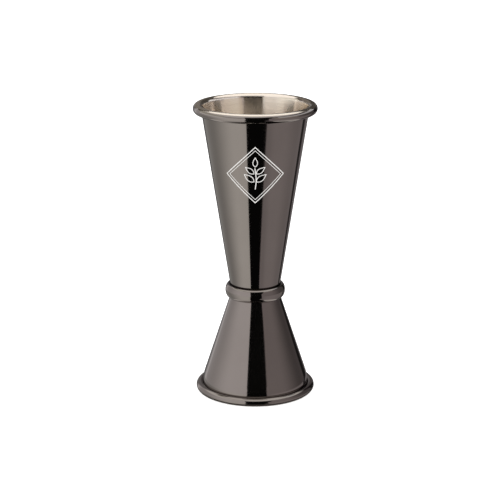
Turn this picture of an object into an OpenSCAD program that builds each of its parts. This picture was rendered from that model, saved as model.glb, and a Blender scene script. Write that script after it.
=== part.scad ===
// Double bar jigger: a large cup above, a small cup below, joined back to back at a ringed waist.
// Both cups are spun from steel sheet and end in a rolled rim. Millimetres, +Z up.
// The origin is on the axis, in the plane of the lower rim that the jigger stands on.

/* [Overall] */
// Height from the lower rim to the upper rim
total_h = 113; // [108:0.5:120]
// Height of the joint where the two floors meet
joint_z = 40.2; // [38:0.1:44]
// Thickness of the steel sheet
sheet_t = 0.6; // [0.5:0.05:0.7]

/* [Upper cup] */
// Outside diameter of the upper rolled rim
upper_rim_d = 47; // [45:0.1:49]
// Outside diameter of the upper cup at its floor
upper_floor_d = 18.6; // [18:0.1:19]
// Outside diameter of the rolled edge itself
upper_curl_d = 3.6; // [3:0.05:3.8]

/* [Lower cup] */
// Outside diameter of the lower rolled rim
lower_rim_d = 46; // [43:0.1:48]
// Outside diameter of the lower cup at its floor
lower_floor_d = 17.9; // [17.5:0.05:18.5]
// Outside diameter of the rolled edge itself
lower_curl_d = 3.2; // [3:0.05:3.5]
// Height at which the sloping wall turns upright, above the lower rim
turn_z = 5.2; // [4.5:0.1:7]
// Outside radius of that turn
turn_r = 12; // [8:0.5:13]

/* [Rolled rims] */
// Gap between the end of the rolled edge and the wall
curl_gap = 0.25; // [0.15:0.05:0.35]
// Depth dressed off each rim to leave a flat land
land_cut = 0.05; // [0.03:0.01:0.08]

/* [Floors] */
// Outside radius where each floor turns into its wall
corner_r = 1.2; // [1:0.05:1.4]

/* [Waist ring] */
// Outside diameter of the ring
ring_d = 23.1; // [22.5:0.05:24]
// Height of the ring
ring_h = 5.1; // [4.8:0.05:5.5]
// Height of the ring's straight bore, between its rounded shoulders
ring_bore_h = 4.5; // [4:0.05:4.7]
// Clearance between the ring's bore and the two cup walls that trap it
seat_gap = 0.01; // [0.005:0.005:0.02]

/* [Spot welds] */
// Number of welds through the two floors
weld_count = 3; // [3:1:5]
// Diameter of each weld
weld_d = 3.5; // [3:0.1:4]
// Diameter of the circle that the welds lie on
weld_circle_d = 9; // [8:0.5:10]
// How far each weld reaches into each floor
weld_depth = 0.4; // [0.3:0.05:0.4]

/* [Hidden] */

$fn = 128;
// Largest angle between two points of a rounded stretch of a section
arc_step = 9;
plate_colour = [0.36, 0.33, 0.31];
ring_colour = [0.42, 0.39, 0.37];
weld_colour = [0.75, 0.74, 0.72];

upper_floor_r = upper_floor_d / 2;
lower_floor_r = lower_floor_d / 2;
upper_curl_r = upper_curl_d / 2;
lower_curl_r = lower_curl_d / 2;
upper_curl = [upper_rim_d / 2 - upper_curl_r, total_h - joint_z - upper_curl_r + land_cut];
lower_curl = [lower_rim_d / 2 - lower_curl_r, joint_z - lower_curl_r + land_cut];

// The upper wall runs straight from its floor and meets the rolled edge without a kink
upper_run = [upper_curl.x - upper_floor_r, upper_curl.y];
upper_angle = acos((upper_curl_r - sheet_t) / norm(upper_run)) - atan2(upper_run.y, upper_run.x);

// The lower wall slopes to turn_z and then stands upright into its rolled edge
lower_upright_r = lower_curl.x - lower_curl_r + sheet_t;
lower_angle = atan((lower_upright_r - lower_floor_r) / (joint_z - turn_z));
turn_centre = [lower_upright_r - turn_r, joint_z - turn_z + turn_r * tan(lower_angle / 2)];

// The ring's bore edges rest on both walls, one above the joint and one below
bore_half = ring_bore_h / 2;
bore_mid = (lower_floor_r - upper_floor_r + bore_half * (tan(lower_angle) - tan(upper_angle)))
         / (tan(upper_angle) + tan(lower_angle));
bore_r = upper_floor_r + (bore_mid + bore_half) * tan(upper_angle) + seat_gap;
shoulder_angle = 180 - asin(ring_bore_h / ring_h);
ring_bulge = (ring_d / 2 - bore_r) / (1 - cos(shoulder_angle));

// Evenly spaced angles from a0 to a1
function angles(a0, a1) =
    let (steps = ceil(abs(a1 - a0) / arc_step))
    [for (i = [0 : steps]) a0 + (a1 - a0) * i / steps];

// Points of an arc about centre, from angle a0 to a1
function arc(centre, r, a0, a1) = [for (a = angles(a0, a1)) centre + r * [cos(a), sin(a)]];

// Centre of the rounded corner between a floor at height 0 and a wall that leans out by angle
function corner_centre(floor_r, angle) = [floor_r + corner_r * (tan(angle) - 1 / cos(angle)), corner_r];

// Section of a cup standing on its floor: out under the floor, up the outside, round the rolled
// edge and back down the inside. The wall leans out by floor_angle above the corner and by
// rim_angle below the rolled edge, and outer_turn and inner_turn lie between where those differ.
// The flat land takes land_angle out of the rolled edge on either side of its top.
function cup_outline(floor_r, floor_angle, curl, curl_r, rim_angle, outer_turn = [], inner_turn = []) =
    let (
        corner = corner_centre(floor_r, floor_angle),
        curl_inner_r = curl_r - sheet_t,
        wall_side = 180 - rim_angle,
        curl_end = acos((curl_inner_r - curl_gap) / curl_r) - 180 - rim_angle,
        land_angle = acos(1 - land_cut / curl_r)
    )
    concat(
        [[0, 0]],
        arc(corner, corner_r, -90, -floor_angle),
        outer_turn,
        arc(curl, curl_inner_r, wall_side, curl_end),
        arc(curl, curl_r, curl_end, 90 - land_angle),
        arc(curl, curl_r, 90 + land_angle, wall_side),
        inner_turn,
        arc(corner, corner_r - sheet_t, -floor_angle, -90),
        [[0, sheet_t]]
    );

// The welds, as discs across the plane where the floors meet
module weld_discs() {
    for (i = [0 : weld_count - 1])
        rotate([0, 0, 360 * i / weld_count])
            translate([weld_circle_d / 2, 0, joint_z - weld_depth])
                cylinder(d = weld_d, h = 2 * weld_depth);
}

// Large cup, opening upwards
module upper_cup() {
    color(plate_colour)
        difference() {
            translate([0, 0, joint_z])
                rotate_extrude()
                    polygon(cup_outline(upper_floor_r, upper_angle, upper_curl, upper_curl_r, upper_angle));
            weld_discs();
        }
}

// Small cup, opening downwards, which is also the foot
module lower_cup() {
    outer_turn = arc(turn_centre, turn_r, -lower_angle, 0);
    inner_turn = arc(turn_centre, turn_r - sheet_t, 0, -lower_angle);
    color(plate_colour)
        difference() {
            translate([0, 0, joint_z])
                mirror([0, 0, 1])
                    rotate_extrude()
                        polygon(cup_outline(lower_floor_r, lower_angle, lower_curl, lower_curl_r, 0,
                                            outer_turn, inner_turn));
            weld_discs();
        }
}

// Half-round ring, slipped over one cup before welding and trapped between the two flares
module waist_ring() {
    outline = [for (a = angles(-shoulder_angle, shoulder_angle))
        [ring_d / 2 - ring_bulge * (1 - cos(a)), ring_h / 2 * sin(a)]];
    color(ring_colour)
        translate([0, 0, joint_z + bore_mid])
            rotate_extrude()
                polygon(outline);
}

// Resistance welds that hold the two floors together
module spot_welds() {
    color(weld_colour)
        weld_discs();
}

upper_cup();
lower_cup();
waist_ring();
spot_welds();
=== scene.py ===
"""Looks of a double bar jigger: dark plated outside, bare spun steel inside, on a pale studio floor.

Metres, +Z up, origin on the axis in the plane of the lower rim. The camera side is -Y.
"""
import math

import bmesh
import bpy
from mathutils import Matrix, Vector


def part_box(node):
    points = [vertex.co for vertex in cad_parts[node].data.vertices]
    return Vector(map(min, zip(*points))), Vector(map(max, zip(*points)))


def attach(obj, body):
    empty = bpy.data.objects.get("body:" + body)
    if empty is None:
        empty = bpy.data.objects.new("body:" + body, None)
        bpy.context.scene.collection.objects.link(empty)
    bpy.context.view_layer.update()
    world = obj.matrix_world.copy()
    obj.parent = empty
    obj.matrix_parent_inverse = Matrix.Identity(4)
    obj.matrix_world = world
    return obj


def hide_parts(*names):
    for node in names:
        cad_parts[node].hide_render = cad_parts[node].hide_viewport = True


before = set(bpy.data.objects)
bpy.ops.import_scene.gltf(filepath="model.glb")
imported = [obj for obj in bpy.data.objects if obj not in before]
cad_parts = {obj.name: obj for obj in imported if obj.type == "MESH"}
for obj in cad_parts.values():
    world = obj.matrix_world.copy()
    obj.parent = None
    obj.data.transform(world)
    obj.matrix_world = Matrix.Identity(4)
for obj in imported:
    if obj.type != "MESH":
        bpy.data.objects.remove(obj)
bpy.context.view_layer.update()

BODY = "root"
MM = 0.001

# ---------------------------------------------------------------- sizes
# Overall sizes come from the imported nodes. The sheet's own sizes repeat the design's.
UPPER_LOW, UPPER_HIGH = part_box("upper_cup")
LOWER_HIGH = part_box("lower_cup")[1]
RING_LOW, RING_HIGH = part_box("waist_ring")

TOTAL_H = UPPER_HIGH.z
JOINT_Z = UPPER_LOW.z
UPPER_RIM_R = UPPER_HIGH.x
LOWER_RIM_R = LOWER_HIGH.x

SHEET = 0.6 * MM
CORNER_R = 1.2 * MM
UPPER_CURL_R = 1.8 * MM
LOWER_CURL_R = 1.6 * MM
CURL_GAP = 0.25 * MM
UPPER_FLOOR_R = 9.3 * MM
LOWER_FLOOR_R = 8.95 * MM
TURN_Z = 5.2 * MM
TURN_R = 12 * MM
RING_BORE_H = 4.5 * MM
SEAT_GAP = 0.01 * MM

# Angle on the rolled edge, up from its outermost point, at which the plating stops
BARE_FROM = math.radians(46)

SEGMENTS = 288
ARC_STEP = math.radians(6)
SHARP_ANGLE = math.radians(40)
WALL_ROWS = 24
PLATED, BARE = 0, 1


# ---------------------------------------------------------------- outlines
# An outline is a list of (radius, height, finish), where finish is that of the band up to the next point.
def arc(centre, radius, start, end, finish):
    """Points along an arc, ends included."""
    steps = math.ceil(abs(end - start) / ARC_STEP)
    points = []
    for i in range(steps + 1):
        angle = start + (end - start) * i / steps
        points.append((centre[0] + radius * math.cos(angle), centre[1] + radius * math.sin(angle), finish))
    return points


def wall(start, end):
    """Points strictly between two ends, closer near the ends so that the shading stays straight."""
    points = []
    for i in range(1, WALL_ROWS):
        t = (1 - math.cos(math.pi * i / WALL_ROWS)) / 2
        points.append((start[0] + (end[0] - start[0]) * t, start[1] + (end[1] - start[1]) * t, start[2]))
    return points


def joined(*stretches):
    """One outline from several stretches, each tied to the next by a straight wall."""
    points = list(stretches[0])
    for stretch in stretches[1:]:
        points += wall(points[-1], stretch[0]) + stretch
    return points


def cup_outline(floor_r, floor_angle, curl, curl_r, rim_angle, turn=None):
    """Section of a cup on its floor: under the floor, up the outside, round, and back down inside."""
    corner = (floor_r + CORNER_R * (math.tan(floor_angle) - 1 / math.cos(floor_angle)), CORNER_R)
    curl_inner_r = curl_r - SHEET
    wall_side = math.pi - rim_angle
    curl_end = math.acos((curl_inner_r - CURL_GAP) / curl_r) - math.pi - rim_angle
    outer_turn = [arc(turn, TURN_R, -floor_angle, 0, PLATED)] if turn else []
    inner_turn = [arc(turn, TURN_R - SHEET, 0, -floor_angle, BARE)] if turn else []
    return joined(
        [(0, 0, PLATED)],
        arc(corner, CORNER_R, -math.pi / 2, -floor_angle, PLATED),
        *outer_turn,
        arc(curl, curl_inner_r, wall_side, curl_end, PLATED)
        + arc(curl, curl_r, curl_end, BARE_FROM, PLATED)[:-1]
        + arc(curl, curl_r, BARE_FROM, wall_side, BARE),
        *inner_turn,
        arc(corner, CORNER_R - SHEET, -floor_angle, -math.pi / 2, BARE),
        [(0, SHEET, BARE)],
    )


def upper_curl_and_angle():
    """Centre of the upper rolled edge above the joint, and how far the upper wall leans out."""
    curl = (UPPER_RIM_R - UPPER_CURL_R, TOTAL_H - JOINT_Z - UPPER_CURL_R)
    run, rise = curl[0] - UPPER_FLOOR_R, curl[1]
    return curl, math.acos((UPPER_CURL_R - SHEET) / math.hypot(run, rise)) - math.atan2(rise, run)


def upper_cup_outline():
    curl, angle = upper_curl_and_angle()
    outline = cup_outline(UPPER_FLOOR_R, angle, curl, UPPER_CURL_R, angle)
    return [(r, JOINT_Z + h, finish) for r, h, finish in outline]


def lower_curl_and_angle():
    """The same for the lower cup, measured down from the joint, with its wall's angle above the turn."""
    curl = (LOWER_RIM_R - LOWER_CURL_R, JOINT_Z - LOWER_CURL_R)
    upright_r = curl[0] - LOWER_CURL_R + SHEET
    return curl, math.atan((upright_r - LOWER_FLOOR_R) / (JOINT_Z - TURN_Z))


def lower_cup_outline():
    curl, angle = lower_curl_and_angle()
    upright_r = curl[0] - LOWER_CURL_R + SHEET
    turn = (upright_r - TURN_R, JOINT_Z - TURN_Z + TURN_R * math.tan(angle / 2))
    outline = cup_outline(LOWER_FLOOR_R, angle, curl, LOWER_CURL_R, 0, turn)
    return [(r, JOINT_Z - h, finish) for r, h, finish in outline]


def ring_outline():
    """An oval cut off by the ring's straight bore."""
    half_h = (RING_HIGH.z - RING_LOW.z) / 2
    middle = (RING_HIGH.z + RING_LOW.z) / 2
    _, upper_angle = upper_curl_and_angle()
    bore_r = UPPER_FLOOR_R + (middle + RING_BORE_H / 2 - JOINT_Z) * math.tan(upper_angle) + SEAT_GAP
    reach = math.pi - math.asin(RING_BORE_H / (2 * half_h))
    bulge = (RING_HIGH.x - bore_r) / (1 - math.cos(reach))
    steps = math.ceil(2 * reach / ARC_STEP)
    points = []
    for i in range(steps + 1):
        angle = reach * (2 * i / steps - 1)
        radius = RING_HIGH.x - bulge * (1 - math.cos(angle))
        points.append((radius, middle + half_h * math.sin(angle), PLATED))
    return points


# ---------------------------------------------------------------- meshes
def new_object(name, bm):
    """Turns bm into a smooth-shaded object of that name, with sharp corners kept."""
    mesh = bpy.data.meshes.new(name)
    bmesh.ops.recalc_face_normals(bm, faces=bm.faces)
    bm.to_mesh(mesh)
    bm.free()
    mesh.shade_smooth()
    mesh.set_sharp_from_angle(angle=SHARP_ANGLE)
    obj = bpy.data.objects.new(name, mesh)
    bpy.context.scene.collection.objects.link(obj)
    return obj


def revolve(name, outline, closed=False):
    """A surface of revolution about Z. A point on the axis becomes a single vertex."""
    bm = bmesh.new()
    turn = 2 * math.pi / SEGMENTS
    rings = []
    for radius, height, finish in outline:
        if radius < 1e-9:
            ring = [bm.verts.new((0, 0, height))] * SEGMENTS
        else:
            ring = [bm.verts.new((radius * math.cos(i * turn), radius * math.sin(i * turn), height))
                    for i in range(SEGMENTS)]
        rings.append((ring, finish))
    pairs = list(zip(rings, rings[1:]))
    if closed:
        pairs.append((rings[-1], rings[0]))
    for (low, finish), (high, _) in pairs:
        for i in range(SEGMENTS):
            j = (i + 1) % SEGMENTS
            corners = dict.fromkeys([low[i], low[j], high[j], high[i]])
            face = bm.faces.new(list(corners))
            face.material_index = finish
    return new_object(name, bm)


# ---------------------------------------------------------------- node helpers
def node(tree, kind, **settings):
    made = tree.nodes.new(kind)
    for key, value in settings.items():
        setattr(made, key, value)
    return made


def feed(tree, socket, value):
    """Puts a number, a colour or another node's output into a socket."""
    if isinstance(value, bpy.types.NodeSocket):
        tree.links.new(value, socket)
    else:
        socket.default_value = value


def maths(tree, operation, a, b=0.0, c=0.0):
    made = node(tree, "ShaderNodeMath", operation=operation)
    for socket, value in zip(made.inputs, (a, b, c)):
        feed(tree, socket, value)
    return made.outputs[0]


def step_up(tree, value, low, high):
    """0 at low and before it, 1 at high and past it, smooth between. It falls where low is the larger."""
    made = node(tree, "ShaderNodeMapRange", interpolation_type="SMOOTHSTEP")
    for name, number in (("From Min", low), ("From Max", high), ("To Min", 0.0), ("To Max", 1.0)):
        made.inputs[name].default_value = number
    feed(tree, made.inputs["Value"], value)
    return made.outputs["Result"]


def between(tree, value, low, high, soft):
    """1 from low to high and 0 outside, smooth over soft on either side of each end."""
    rise = step_up(tree, value, low - soft, low + soft)
    return maths(tree, "MULTIPLY", rise, step_up(tree, value, high + soft, high - soft))


def spread(tree, value, low, high):
    """Stretches a noise, which keeps to about 0.3 to 0.7, over low to high."""
    made = node(tree, "ShaderNodeMapRange")
    for name, number in (("From Min", 0.3), ("From Max", 0.7), ("To Min", low), ("To Max", high)):
        made.inputs[name].default_value = number
    feed(tree, made.inputs["Value"], value)
    return made.outputs["Result"]


def blend_colour(tree, factor, a, b):
    made = node(tree, "ShaderNodeMix", data_type="RGBA")
    feed(tree, made.inputs["Factor"], factor)
    feed(tree, made.inputs[6], a)
    feed(tree, made.inputs[7], b)
    return made.outputs[2]


def noise(tree, vector, scale=1.0, detail=3.0, rough=0.5):
    """A cloudy pattern whose features are about 1 / scale across."""
    made = node(tree, "ShaderNodeTexNoise")
    feed(tree, made.inputs["Vector"], vector)
    for name, number in (("Scale", scale), ("Detail", detail), ("Roughness", rough)):
        made.inputs[name].default_value = number
    return made.outputs["Fac"]


def scaled(tree, vector, factor):
    made = node(tree, "ShaderNodeVectorMath", operation="SCALE")
    feed(tree, made.inputs[0], vector)
    feed(tree, made.inputs["Scale"], factor)
    return made.outputs[0]


def position(tree):
    """Position in millimetres."""
    return scaled(tree, node(tree, "ShaderNodeTexCoord").outputs["Object"], 1 / MM)


def split(tree, vector):
    """The X, Y and Z of a vector."""
    parts = node(tree, "ShaderNodeSeparateXYZ")
    feed(tree, parts.inputs[0], vector)
    return parts.outputs


def distance_from_axis(tree, x, y):
    return maths(tree, "SQRT", maths(tree, "MULTIPLY_ADD", x, x, maths(tree, "MULTIPLY", y, y)))


def spun(tree, place, around, across):
    """Coordinates that change slowly round the axis and fast across the lathe marks."""
    x, y, z = split(tree, place)
    radius = distance_from_axis(tree, x, y)
    along = maths(tree, "ADD", radius, z)
    made = node(tree, "ShaderNodeCombineXYZ")
    feed(tree, made.inputs[0], maths(tree, "MULTIPLY", x, around))
    feed(tree, made.inputs[1], maths(tree, "MULTIPLY", y, around))
    feed(tree, made.inputs[2], maths(tree, "MULTIPLY", along, across))
    return made.outputs[0]


def bump(tree, height, depth):
    made = node(tree, "ShaderNodeBump")
    made.inputs["Strength"].default_value = 1.0
    made.inputs["Distance"].default_value = depth
    feed(tree, made.inputs["Height"], height)
    return made.outputs[0]


def new_material(name):
    made = bpy.data.materials.new(name)
    made.use_nodes = True
    return made, made.node_tree, made.node_tree.nodes["Principled BSDF"]


# ---------------------------------------------------------------- materials
# The creases above and below the ring, where the plating's colour is darkened as painted shade
CREASE_R = RING_HIGH.x - 1.0 * MM
CREASE_LOW = RING_LOW.z - 0.25 * MM
CREASE_HIGH = RING_HIGH.z + 0.55 * MM
CREASE_SOFT = 0.2
# Painted shade: the darker colour that the plating takes in the creases beside the ring
CREASE_PAINTED_SHADE = (0.09, 0.08, 0.072, 1)


def near_ring(tree, place):
    """1 in the creases beside the ring and 0 elsewhere, from a place in millimetres."""
    x, y, z = split(tree, place)
    radius = distance_from_axis(tree, x, y)
    inside = step_up(tree, radius, CREASE_R / MM + CREASE_SOFT, CREASE_R / MM - CREASE_SOFT)
    level = between(tree, z, CREASE_LOW / MM, CREASE_HIGH / MM, CREASE_SOFT)
    return maths(tree, "MULTIPLY", inside, level)


def dark_plate():
    """Polished black-nickel plating: smoky, faintly uneven in tone, with the last of the polishing lines,
    and with painted shade in the creases beside the ring, where its colour is darkened."""
    made, tree, shader = new_material("dark_plate")
    place = position(tree)
    clouds = spread(tree, noise(tree, place, 0.06, 4.0), 0.0, 1.0)
    lines = noise(tree, spun(tree, place, 0.05, 5.0), 1.0, 5.0, 0.65)
    tone = blend_colour(tree, clouds, (0.262, 0.236, 0.217, 1), (0.282, 0.256, 0.236, 1))
    # Painted shade: the plating's colour is darkened towards this tone in the creases beside the ring
    feed(tree, shader.inputs["Base Color"], blend_colour(tree, near_ring(tree, place), tone, CREASE_PAINTED_SHADE))
    feed(tree, shader.inputs["Roughness"], spread(tree, lines, 0.05, 0.10))
    feed(tree, shader.inputs["Normal"], bump(tree, lines, 0.0006 * MM))
    shader.inputs["Metallic"].default_value = 1.0
    return made


def spun_steel():
    """Bare stainless steel inside a cup, satin from the lathe, with rings of finer and coarser marks."""
    made, tree, shader = new_material("spun_steel")
    place = position(tree)
    fine = noise(tree, spun(tree, place, 0.12, 9.0), 1.0, 6.0, 0.7)
    broad = noise(tree, spun(tree, place, 0.03, 0.8), 1.0, 3.0)
    tone = blend_colour(tree, spread(tree, broad, 0.0, 1.0), (0.78, 0.71, 0.62, 1), (0.85, 0.775, 0.685, 1))
    feed(tree, shader.inputs["Base Color"], tone)
    feed(tree, shader.inputs["Roughness"], spread(tree, fine, 0.13, 0.17))
    feed(tree, shader.inputs["Normal"], bump(tree, fine, 0.002 * MM))
    tangent = node(tree, "ShaderNodeTangent", direction_type="RADIAL", axis="Z")
    feed(tree, shader.inputs["Tangent"], tangent.outputs[0])
    shader.inputs["Metallic"].default_value = 1.0
    shader.inputs["Anisotropic"].default_value = 1.0
    shader.inputs["Anisotropic Rotation"].default_value = 0.25
    return made


def etched_steel():
    """The pale, dull line that a laser leaves in the plating."""
    made, tree, shader = new_material("etched_steel")
    grain = noise(tree, position(tree), 6.0, 4.0)
    tone = blend_colour(tree, spread(tree, grain, 0.0, 1.0), (0.60, 0.59, 0.57, 1), (0.74, 0.73, 0.71, 1))
    feed(tree, shader.inputs["Base Color"], tone)
    feed(tree, shader.inputs["Roughness"], spread(tree, grain, 0.55, 0.75))
    feed(tree, shader.inputs["Normal"], bump(tree, grain, 0.004 * MM))
    return made


def weld_metal():
    """Spot-weld nuggets: dull steel with a heat tint."""
    made, tree, shader = new_material("weld_metal")
    grain = noise(tree, position(tree), 2.0, 4.0)
    tone = blend_colour(tree, spread(tree, grain, 0.0, 1.0), (0.46, 0.42, 0.38, 1), (0.56, 0.54, 0.52, 1))
    feed(tree, shader.inputs["Base Color"], tone)
    feed(tree, shader.inputs["Roughness"], spread(tree, grain, 0.35, 0.55))
    feed(tree, shader.inputs["Normal"], bump(tree, grain, 0.01 * MM))
    shader.inputs["Metallic"].default_value = 1.0
    return made


def studio_floor():
    """Matt white sweep."""
    made, tree, shader = new_material("studio_floor")
    grain = noise(tree, position(tree), 0.02, 3.0)
    tone = blend_colour(tree, spread(tree, grain, 0.0, 1.0), (0.93, 0.93, 0.925, 1), (0.95, 0.95, 0.945, 1))
    feed(tree, shader.inputs["Base Color"], tone)
    feed(tree, shader.inputs["Roughness"], spread(tree, grain, 0.85, 0.95))
    shader.inputs["Specular IOR Level"].default_value = 0.0
    shader.inputs["Emission Color"].default_value = (1, 1, 1, 1)
    shader.inputs["Emission Strength"].default_value = 0.7
    return made


# ---------------------------------------------------------------- the mark
# A generic device: a thin lozenge with a small leafy sprig, sunk into the plating.
MARK_Z = 89.2 * MM
MARK_HALF_W = 11.2 * MM
MARK_HALF_H = 11.0 * MM
FRAME_GAP = 1.3 * MM
LINE_W = 0.34 * MM
FINE_LINE_W = 0.6 * LINE_W
LEAF_LINE_W = 0.8 * LINE_W
LEAF_TILT = math.radians(52)
MARK_PROUD = 0.015 * MM
MARK_SUNK = 0.05 * MM


def on_upper_cone(across, up, lift):
    """A point on the front of the upper cup: across and up along the wall from the mark's centre."""
    _, angle = upper_curl_and_angle()
    z = MARK_Z + up * math.cos(angle)
    radius = UPPER_FLOOR_R + (z - JOINT_Z) * math.tan(angle)
    turn = across / radius
    radius += lift * math.cos(angle)
    return (radius * math.sin(turn), -radius * math.cos(turn), z - lift * math.sin(angle))


def straight_run(a, b, steps):
    """Points from a up to, but not including, b."""
    return [(a[0] + (b[0] - a[0]) * i / steps, a[1] + (b[1] - a[1]) * i / steps) for i in range(steps)]


def add_stroke(bm, path, width, loop):
    """A closed strip of metal of the given width along a path on the cone."""
    count = len(path)
    stations = []
    for i, (x, y) in enumerate(path):
        before = path[i - 1] if i > 0 or loop else path[i]
        after = path[(i + 1) % count] if i < count - 1 or loop else path[i]
        into = (x - before[0], y - before[1])
        out = (after[0] - x, after[1] - y)
        into = into if into != (0, 0) else out
        out = out if out != (0, 0) else into
        into_l, out_l = math.hypot(*into), math.hypot(*out)
        side_a = (-into[1] / into_l, into[0] / into_l)
        side_b = (-out[1] / out_l, out[0] / out_l)
        mid = (side_a[0] + side_b[0], side_a[1] + side_b[1])
        mitre = width / (mid[0] * side_a[0] + mid[1] * side_a[1])
        corners = []
        for way, lift in ((1, MARK_PROUD), (-1, MARK_PROUD), (-1, -MARK_SUNK), (1, -MARK_SUNK)):
            scale = way * mitre / 2
            spot = on_upper_cone(x + mid[0] * scale, y + mid[1] * scale, lift)
            corners.append(bm.verts.new(spot))
        stations.append(corners)
    pairs = list(zip(stations, stations[1:]))
    if loop:
        pairs.append((stations[-1], stations[0]))
    else:
        bm.faces.new(stations[0])
        bm.faces.new(list(reversed(stations[-1])))
    for here, there in pairs:
        for k in range(4):
            bm.faces.new([here[k], here[(k + 1) % 4], there[(k + 1) % 4], there[k]])


def lozenge(half_w, half_h):
    tips = [(half_w, 0), (0, half_h), (-half_w, 0), (0, -half_h)]
    path = []
    for i, tip in enumerate(tips):
        path += straight_run(tip, tips[(i + 1) % 4], 10)
    return path


def leaf(root, heading, length, fatness):
    """Closed outline of a pointed leaf growing from root along heading."""
    steps = 10
    ahead = (math.cos(heading), math.sin(heading))
    left = (-ahead[1], ahead[0])
    path = []
    for i in range(2 * steps):
        t = i / steps if i <= steps else 2 - i / steps
        side = 1 if i <= steps else -1
        bulge = side * fatness * length * math.sin(math.pi * t ** 0.8)
        path.append((root[0] + ahead[0] * length * t + left[0] * bulge,
                     root[1] + ahead[1] * length * t + left[1] * bulge))
    return path


def make_mark():
    """Two lozenges, one inside the other, round a stem with two pairs of leaves and one at its tip."""
    bm = bmesh.new()
    add_stroke(bm, lozenge(MARK_HALF_W, MARK_HALF_H), LINE_W, True)
    add_stroke(bm, lozenge(MARK_HALF_W - FRAME_GAP, MARK_HALF_H - FRAME_GAP), FINE_LINE_W, True)
    stem = [(0.35 * MM * math.sin(i * 0.5), (-5.6 + 1.2 * i) * MM) for i in range(8)]
    add_stroke(bm, stem, LINE_W, False)
    for height, length in ((-2.6, 4.6), (0.6, 4.0)):
        for side in (1, -1):
            heading = math.pi / 2 - side * LEAF_TILT
            root = (side * 0.45 * MM, height * MM)
            add_stroke(bm, leaf(root, heading, length * MM, 0.22), LEAF_LINE_W, True)
    add_stroke(bm, leaf((0, 3.3 * MM), math.pi / 2, 3.6 * MM, 0.24), LEAF_LINE_W, True)
    return new_object("laser_mark", bm)


# ---------------------------------------------------------------- pieces
def place_pieces():
    plate, steel = dark_plate(), spun_steel()
    for name, outline, closed, cad in (
        ("upper_cup_finish", upper_cup_outline(), False, "upper_cup"),
        ("lower_cup_finish", lower_cup_outline(), False, "lower_cup"),
        ("waist_ring_finish", ring_outline(), True, "waist_ring"),
    ):
        piece = revolve(name, outline, closed)
        piece.data.materials.append(plate)
        piece.data.materials.append(steel)
        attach(piece, BODY)
        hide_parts(cad)
    mark = make_mark()
    mark.data.materials.append(etched_steel())
    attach(mark, BODY)
    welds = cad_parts["spot_welds"]
    welds.data.materials.clear()
    welds.data.materials.append(weld_metal())


# ---------------------------------------------------------------- studio
LENS = 122.85
SENSOR_W = 36.0
LENS_SHIFT = -0.0104
CAMERA_BACK = 631 * MM
CAMERA_UP = 232.6 * MM
CAMERA_TILT = math.radians(15.65)

FLOOR_R = 20.0
FLOOR_SEGMENTS = 96
# What the metal reflects is a room painted on the sky. A direction in it is given by its degrees round
# the jigger, from the camera and + to its right, or by its X, Y and Z on a sphere of radius 1. Each EDGE
# is the pair of values between which one thing gives way to the next.
SOFTBOX_EDGE = (-0.24, -0.20)
# The lights round the room, below and above SOFTBOX_EDGE in Z. Each has a name, the degrees at which it
# starts and ends, the softness of its start and of its end, and its brightness. Where they overlap, they
# add up.
LOW_LIGHTS = (
    ("dim room", -200, 200, 1, 1, 0.04),
    ("left of the back", -200, 0, 1, 1, 0.10),
    ("left wall", -153, 0, 4, 1, 0.30),
    ("left softbox", -85, 0, 35, 35, 0.55),
    ("right wall", 0, 130, 1, 1, 0.32),
    ("right softbox", 35, 95, 15, 25, 0.12),
    ("right of the back", 143, 200, 3, 1, 0.08),
    ("lamp behind", 143, 168, 3, 12, 0.12),
)
HIGH_LIGHTS = (
    ("dim room", -200, 200, 1, 1, 0.02),
    ("left of the back", -200, 0, 1, 1, 0.25),
    ("left wall", -150, 0, 5, 1, 0.38),
    ("kicker", -145, -138, 3, 3, 0.22),
    ("left softbox", -88, 0, 30, 30, 0.34),
    ("right wall", 0, 135, 1, 1, 0.12),
    ("right softbox", 0, 88, 1, 30, 0.25),
    ("right of the back", 155, 200, 4, 1, 0.12),
)
# Tint of the lights to the left and to the right of the camera
LOW_TINTS = ((1.0, 0.985, 0.96, 1), (1.0, 0.91, 0.93, 1))
HIGH_TINTS = ((1.0, 0.965, 0.985, 1), (1.0, 0.89, 0.91, 1))
# Cards hung round the mouth of the upper cup, which light its inside and are seen only in reflections:
# degrees round from and to, degrees up from the mouth from and to, and colour
CARD_R = 120 * MM
CARD_STEP = 4
CARDS = (
    ((32, 78), (0, 8), (0.70, 0.62, 0.525)),
    ((-50, -19), (0, 10), (1.04, 1.02, 1.00)),
    ((-112, -50), (1.5, 12), (1.16, 1.16, 1.15)),
    ((40, 134), (12.5, 27), (1.02, 1.04, 1.10)),
    ((-58, -17), (10.5, 23.5), (0.60, 0.57, 0.56)),
    ((-123, -58), (12, 32), (0.80, 0.78, 0.70)),
    ((-140, -123), (18.5, 41), (0.08, 0.07, 0.065)),
    ((-180, -140), (6.5, 41), (0.18, 0.165, 0.15)),
    ((135, 180), (6.5, 41), (0.06, 0.055, 0.05)),
)
CEILING = (1.20, 1.17, 1.15, 1)
CEILING_EDGE = (0.58, 0.73)
CEILING_SLOPE = 0.07
# The room's floor, and how it darkens towards the foot
LIT_FLOOR = (0.92, 0.89, 0.87, 1)
UNDER = (0.25, 0.24, 0.23, 1)
FLOOR_EDGE = (-0.66, -0.74)
UNDER_EDGE = (-0.80, -0.96)
FOOT_SHADOW = (0.15, 0.14, 0.135, 1)
FOOT_SHADOW_W = 1.0 * MM
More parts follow.
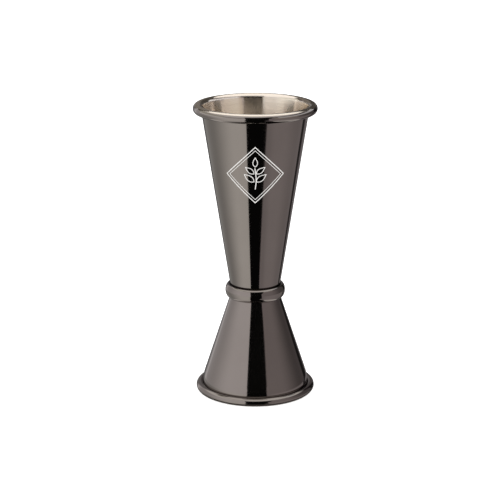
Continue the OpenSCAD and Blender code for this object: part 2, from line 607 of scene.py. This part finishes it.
# The black strip between the softboxes: its sides in X, and how far they shift where it is low or high.
# Its right side also leans in by LEAN for each unit down, from LEAN_FROM and as far as LEAN_DEPTH.
BLACK = (0.006, 0.006, 0.006, 1)
STRIP_LEFT = -0.302
STRIP_RIGHT = 0.415
STRIP_SOFT = 0.01
STRIP_END = (0.6, 0.4)
LOW_SHIFT_EDGE = (-0.60, -0.72)
LOW_SHIFT_LEFT = 0.06
LOW_SHIFT_RIGHT = 0.16
HIGH_SHIFT_EDGE = (0.255, 0.30)
HIGH_SHIFT_RIGHT = 0.06
LEAN_FROM = -0.47
LEAN_DEPTH = -0.09
LEAN = 1.6


def lights_round(tree, degrees, lights, tints):
    """What the lights at one height add up to, in every direction round the jigger."""
    level = 0.0
    for _, start, end, soft_start, soft_end, brightness in lights:
        rise = step_up(tree, degrees, start - soft_start, start + soft_start)
        fall = step_up(tree, degrees, end + soft_end, end - soft_end)
        level = maths(tree, "MULTIPLY_ADD", maths(tree, "MULTIPLY", rise, fall), brightness, level)
    tint = blend_colour(tree, step_up(tree, degrees, -1, 1), *tints)
    return scaled(tree, tint, level)


def room_walls(tree, degrees, z):
    """The lights round the room, and its floor below them."""
    low = lights_round(tree, degrees, LOW_LIGHTS, LOW_TINTS)
    high = lights_round(tree, degrees, HIGH_LIGHTS, HIGH_TINTS)
    sides = blend_colour(tree, step_up(tree, z, *SOFTBOX_EDGE), low, high)
    floor = blend_colour(tree, step_up(tree, z, *UNDER_EDGE), LIT_FLOOR, UNDER)
    return blend_colour(tree, step_up(tree, z, *FLOOR_EDGE), sides, floor)


def black_strip(tree, x, y, z):
    """1 in the strip between the softboxes, which runs from the camera's side to under the jigger."""
    low_shift = step_up(tree, z, *LOW_SHIFT_EDGE)
    high_shift = step_up(tree, z, *HIGH_SHIFT_EDGE)
    lean = maths(tree, "MAXIMUM", maths(tree, "SUBTRACT", z, LEAN_FROM), LEAN_DEPTH)
    lean = maths(tree, "MINIMUM", lean, 0.0)
    left = maths(tree, "MULTIPLY_ADD", low_shift, LOW_SHIFT_LEFT, STRIP_LEFT)
    right = maths(tree, "MULTIPLY_ADD", lean, LEAN, STRIP_RIGHT)
    right = maths(tree, "MULTIPLY_ADD", high_shift, HIGH_SHIFT_RIGHT, right)
    right = maths(tree, "MULTIPLY_ADD", low_shift, LOW_SHIFT_RIGHT, right)
    depth = maths(tree, "MINIMUM", maths(tree, "SUBTRACT", x, left), maths(tree, "SUBTRACT", right, x))
    across = step_up(tree, depth, -STRIP_SOFT, STRIP_SOFT)
    return maths(tree, "MULTIPLY", across, step_up(tree, y, *STRIP_END))


def make_world():
    """Plain white, except in reflections, which show the room: softboxes, black strip, floor and ceiling."""
    world = bpy.data.worlds.new("studio")
    bpy.context.scene.world = world
    world.use_nodes = True
    tree = world.node_tree
    tree.nodes.clear()
    x, y, z = split(tree, node(tree, "ShaderNodeTexCoord").outputs["Generated"])
    azimuth = maths(tree, "ARCTAN2", x, maths(tree, "MULTIPLY", y, -1.0))
    degrees = maths(tree, "MULTIPLY", azimuth, math.degrees(1))
    walls = blend_colour(tree, black_strip(tree, x, y, z), room_walls(tree, degrees, z), BLACK)
    slope = maths(tree, "MULTIPLY", maths(tree, "SUBTRACT", y, x), CEILING_SLOPE)
    ceiling = step_up(tree, maths(tree, "ADD", z, slope), *CEILING_EDGE)
    room = blend_colour(tree, ceiling, walls, CEILING)
    path = node(tree, "ShaderNodeLightPath")
    seen = blend_colour(tree, path.outputs["Is Glossy Ray"], (1, 1, 1, 1), room)
    background = node(tree, "ShaderNodeBackground")
    feed(tree, background.inputs["Color"], seen)
    output = node(tree, "ShaderNodeOutputWorld")
    tree.links.new(background.outputs[0], output.inputs[0])


def only_in_reflections(name, bm, colour):
    """A glowing sheet that nothing but a reflection shows."""
    sheet = new_object(name, bm)
    made, tree, _ = new_material(name)
    glow = node(tree, "ShaderNodeEmission")
    glow.inputs["Color"].default_value = colour
    tree.links.new(glow.outputs[0], tree.nodes["Material Output"].inputs["Surface"])
    sheet.data.materials.append(made)
    sheet.visible_camera = False
    sheet.visible_diffuse = False
    sheet.visible_shadow = False


def make_card(name, around, up, colour):
    """A strip on a cylinder about the jigger, with a facet for every CARD_STEP degrees."""
    bm = bmesh.new()
    steps = math.ceil((around[1] - around[0]) / CARD_STEP)
    edges = []
    for i in range(steps + 1):
        angle = math.radians(around[0] + (around[1] - around[0]) * i / steps)
        spot = (CARD_R * math.sin(angle), -CARD_R * math.cos(angle))
        heights = [TOTAL_H + CARD_R * math.tan(math.radians(level)) for level in up]
        edges.append([bm.verts.new((*spot, height)) for height in heights])
    for here, there in zip(edges, edges[1:]):
        bm.faces.new([here[0], there[0], there[1], here[1]])
    only_in_reflections(name, bm, (*colour, 1))


def make_foot_shadow():
    """The dark round the foot, where the rolled rim shades the floor beside it."""
    bm = bmesh.new()
    shadow_r = LOWER_RIM_R + FOOT_SHADOW_W
    bmesh.ops.create_circle(bm, cap_ends=True, radius=shadow_r, segments=FLOOR_SEGMENTS)
    only_in_reflections("foot_shadow", bm, FOOT_SHADOW)


def make_floor():
    bm = bmesh.new()
    bmesh.ops.create_circle(bm, cap_ends=True, radius=FLOOR_R, segments=FLOOR_SEGMENTS)
    floor = new_object("studio_floor", bm)
    floor.data.materials.append(studio_floor())
    floor.visible_glossy = False


def make_camera():
    """The product shot: a long lens a little above the rim, tilted down to the middle of the jigger."""
    data = bpy.data.cameras.new("camera")
    data.lens = LENS
    data.sensor_width = SENSOR_W
    data.shift_x = LENS_SHIFT
    camera = bpy.data.objects.new("camera", data)
    camera.location = (0, -CAMERA_BACK, CAMERA_UP)
    camera.rotation_euler = (math.pi / 2 - CAMERA_TILT, 0, 0)
    bpy.context.scene.collection.objects.link(camera)
    bpy.context.scene.camera = camera


make_camera()
make_world()
make_floor()
make_foot_shadow()
for number, card in enumerate(CARDS):
    make_card(f"card_{number}", *card)
place_pieces()
bpy.context.scene.view_settings.view_transform = "Standard"
